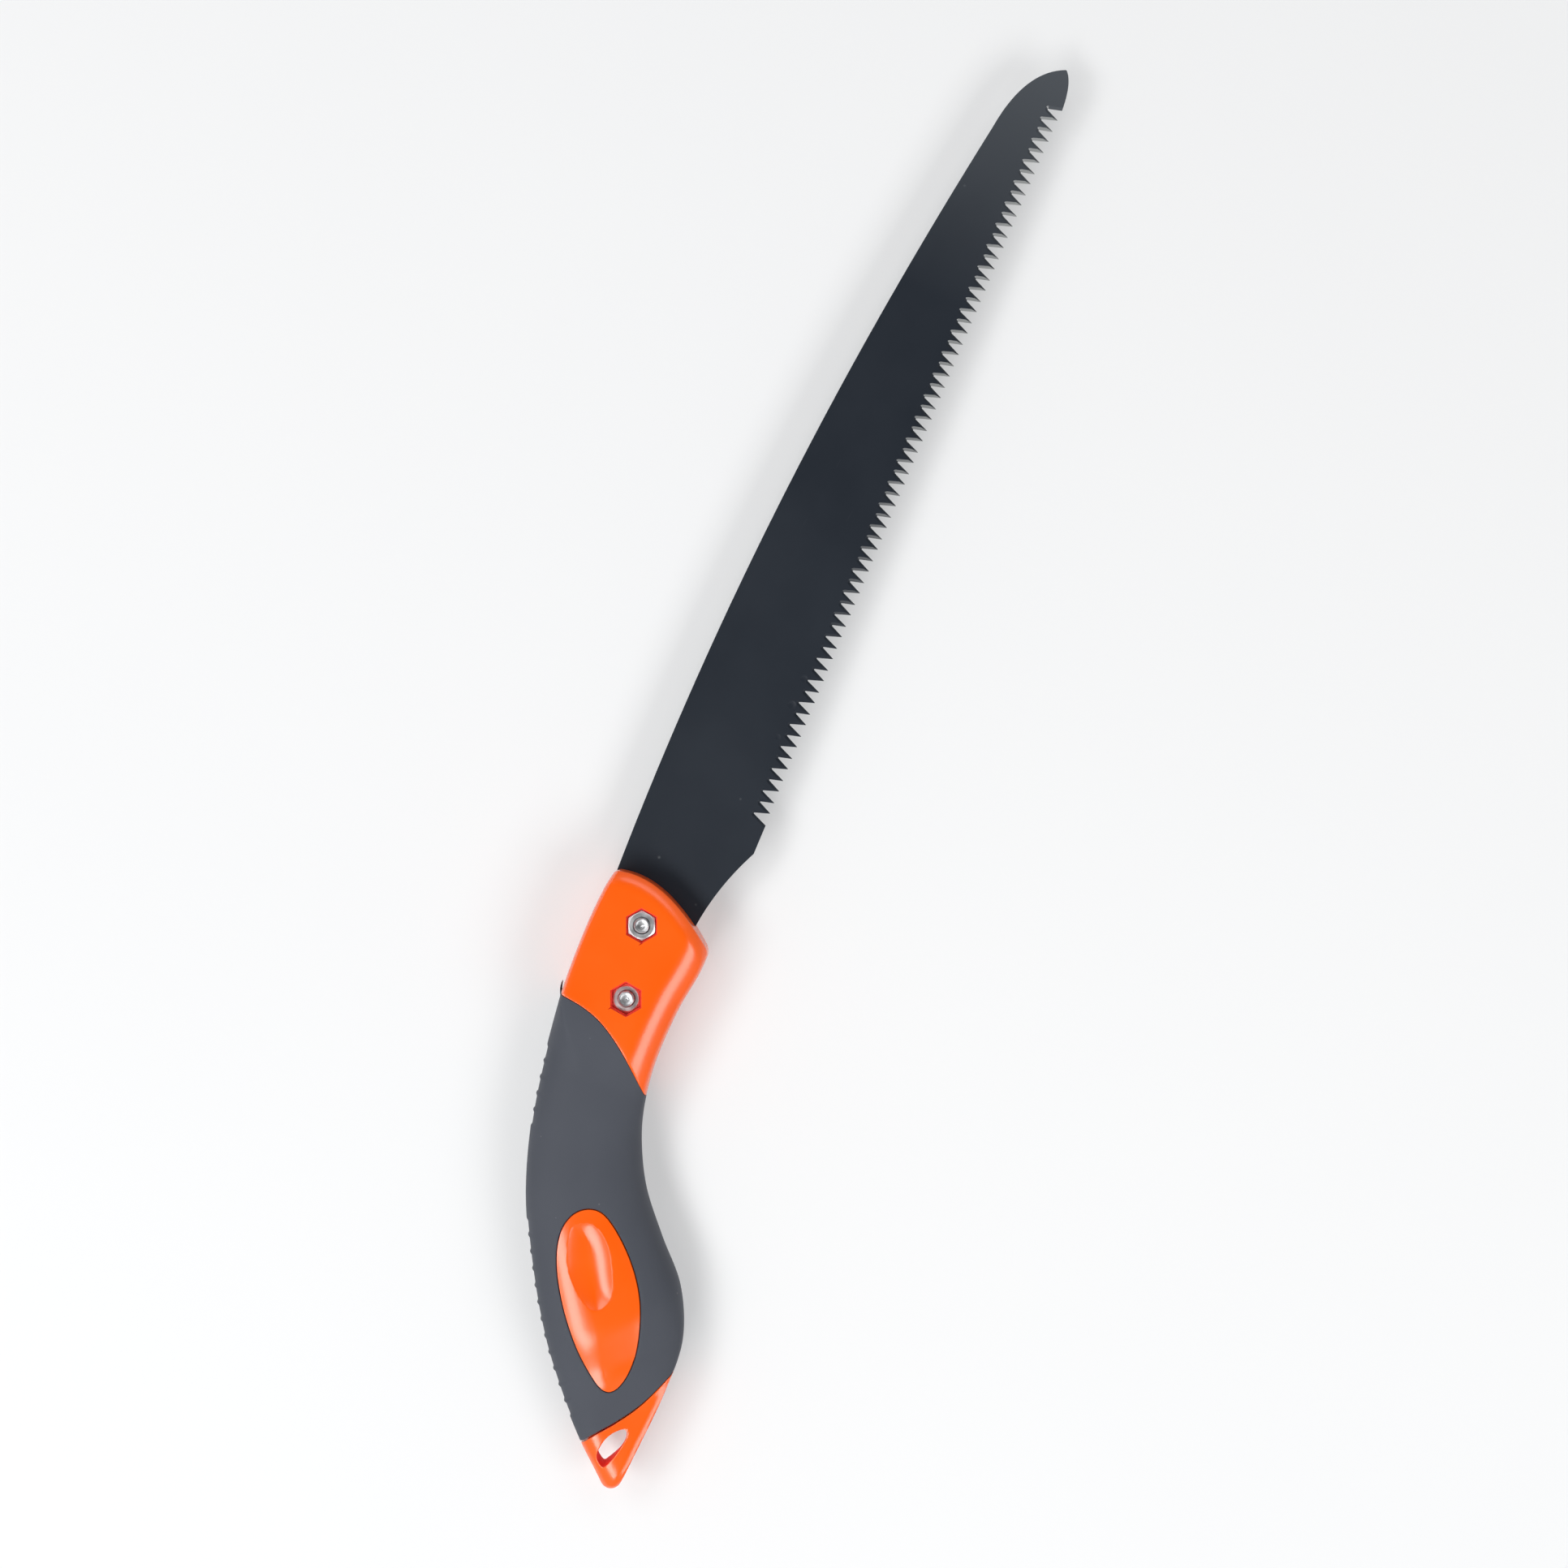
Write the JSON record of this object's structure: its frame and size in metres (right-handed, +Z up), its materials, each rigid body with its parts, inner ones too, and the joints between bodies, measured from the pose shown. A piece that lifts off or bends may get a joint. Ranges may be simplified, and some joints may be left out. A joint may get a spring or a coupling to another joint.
{
  "type": "pruning saw",
  "caption": "Pruning saw with a fixed, gently curved steel blade, bolted into a curved pistol grip handle with a soft sleeve, oval thumb pads and a hang slot in its tail.",
  "frame": {"origin": "midway between the two bolts, on the flat lower cheek of the bolster that the saw lies on", "axes": "+X along the blade to its nose, +Y to the back of the blade, +Z up through the thickness: the saw lies on its side with its nuts up"},
  "size_m": [0.4449, 0.0918, 0.024],
  "materials": {
    "coated_steel": "matt black coating",
    "orange_moulding": "satin moulding",
    "soft_sleeve": "matt soft-touch",
    "zinc_steel": "bright zinc plate"
  },
  "bodies": {
    "root": {"blade": "coated_steel", "handle_core": "orange_moulding", "grip_sleeve": "soft_sleeve", "front_bolt": "zinc_steel", "rear_bolt": "zinc_steel", "front_nut": "zinc_steel", "rear_nut": "zinc_steel"}
  },
  "joints": []
}
